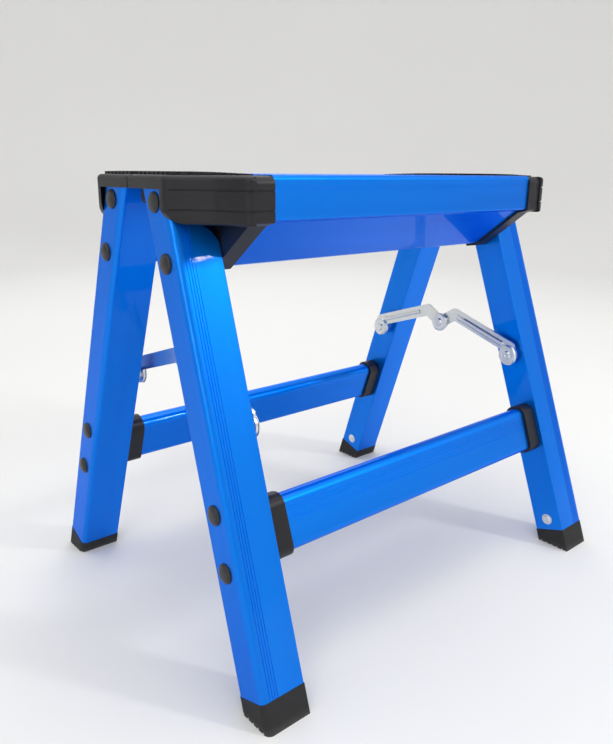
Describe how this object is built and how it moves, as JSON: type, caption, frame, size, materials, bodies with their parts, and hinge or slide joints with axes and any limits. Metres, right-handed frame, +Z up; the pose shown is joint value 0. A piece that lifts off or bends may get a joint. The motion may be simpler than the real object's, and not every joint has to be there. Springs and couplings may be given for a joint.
{
  "type": "folding sawhorse",
  "caption": "Folding sawhorse: a hinged wedge-section metal top on raking box legs, joined by rungs and folding spreader links, with plastic end caps and rubber feet.",
  "frame": {"origin": "on the floor, under the middle of the deck, midway between the feet", "axes": "+X along the rails, -Y towards the front half, +Z up"},
  "size_m": [0.5708, 0.4656, 0.5026],
  "materials": {
    "blue_coat": "glossy blue coating on extruded aluminium",
    "black_plastic": "fine textured black moulding",
    "black_rubber": "matte black rubber",
    "zinc_steel": "bright zinc plating",
    "black_rivet": "satin black domed rivets"
  },
  "bodies": {
    "front_frame": {"front_rail": "blue_coat", "front_rung": "blue_coat", "front_leg_left": "blue_coat", "front_leg_right": "blue_coat", "front_foot_left": "black_rubber", "front_foot_right": "black_rubber", "front_rung_collar_left": "black_plastic", "front_rung_collar_right": "black_plastic", "front_cap_rivets_left": "black_rivet", "front_cap_rivets_right": "black_rivet", "front_rung_rivets_left": "black_rivet", "front_rung_rivets_right": "black_rivet", "front_foot_rivet_left": "zinc_steel", "front_foot_rivet_right": "zinc_steel", "front_cap_left": "black_plastic", "front_cap_right": "black_plastic", "front_pivot_spacer_left": "zinc_steel", "front_pivot_spacer_right": "zinc_steel", "front_pivot_rivet_left": "zinc_steel", "front_pivot_rivet_right": "zinc_steel", "hinge_pin_left": "zinc_steel", "hinge_pin_right": "zinc_steel"},
    "back_frame": {"back_rail": "blue_coat", "back_rung": "blue_coat", "back_leg_left": "blue_coat", "back_leg_right": "blue_coat", "back_foot_left": "black_rubber", "back_foot_right": "black_rubber", "back_rung_collar_left": "black_plastic", "back_rung_collar_right": "black_plastic", "back_cap_rivets_left": "black_rivet", "back_cap_rivets_right": "black_rivet", "back_rung_rivets_left": "black_rivet", "back_rung_rivets_right": "black_rivet", "back_foot_rivet_left": "zinc_steel", "back_foot_rivet_right": "zinc_steel", "back_cap_left": "black_plastic", "back_cap_right": "black_plastic", "back_pivot_spacer_left": "zinc_steel", "back_pivot_spacer_right": "zinc_steel", "back_pivot_rivet_left": "zinc_steel", "back_pivot_rivet_right": "zinc_steel"},
    "front_spreader_left": {"front_link_left": "zinc_steel", "front_mid_rivet_left": "zinc_steel"},
    "front_spreader_right": {"front_link_right": "zinc_steel", "front_mid_rivet_right": "zinc_steel"},
    "back_spreader_left": {"back_link_left": "zinc_steel", "back_mid_rivet_left": "zinc_steel"},
    "back_spreader_right": {"back_link_right": "zinc_steel", "back_mid_rivet_right": "zinc_steel"}
  },
  "joints": [
    {"name": "fold", "type": "hinge", "parent": "front_frame", "child": "back_frame", "pos_m": [0, 0, 0.479], "axis": [-1, 0, 0], "range_deg": [0, 38.3]},
    {"name": "front_spreader_pivot_left", "type": "hinge", "parent": "front_frame", "child": "front_spreader_left", "pos_m": [-0.2205, -0.11982, 0.261], "axis": [1, 0, 0], "range_deg": [0, 39]},
    {"name": "back_spreader_pivot_left", "type": "hinge", "parent": "back_frame", "child": "back_spreader_left", "pos_m": [-0.2205, 0.11982, 0.261], "axis": [-1, 0, 0], "range_deg": [0, 39]},
    {"name": "front_spreader_pivot_right", "type": "hinge", "parent": "front_frame", "child": "front_spreader_right", "pos_m": [0.2205, -0.11982, 0.261], "axis": [1, 0, 0], "range_deg": [0, 39]},
    {"name": "back_spreader_pivot_right", "type": "hinge", "parent": "back_frame", "child": "back_spreader_right", "pos_m": [0.2205, 0.11982, 0.261], "axis": [-1, 0, 0], "range_deg": [0, 39]}
  ],
  "couplings": [
    {"joint": "front_spreader_pivot_left", "follows": "fold", "ratio": 0.9949},
    {"joint": "back_spreader_pivot_left", "follows": "fold", "ratio": 0.9949},
    {"joint": "front_spreader_pivot_right", "follows": "fold", "ratio": 0.9949},
    {"joint": "back_spreader_pivot_right", "follows": "fold", "ratio": 0.9949}
  ]
}
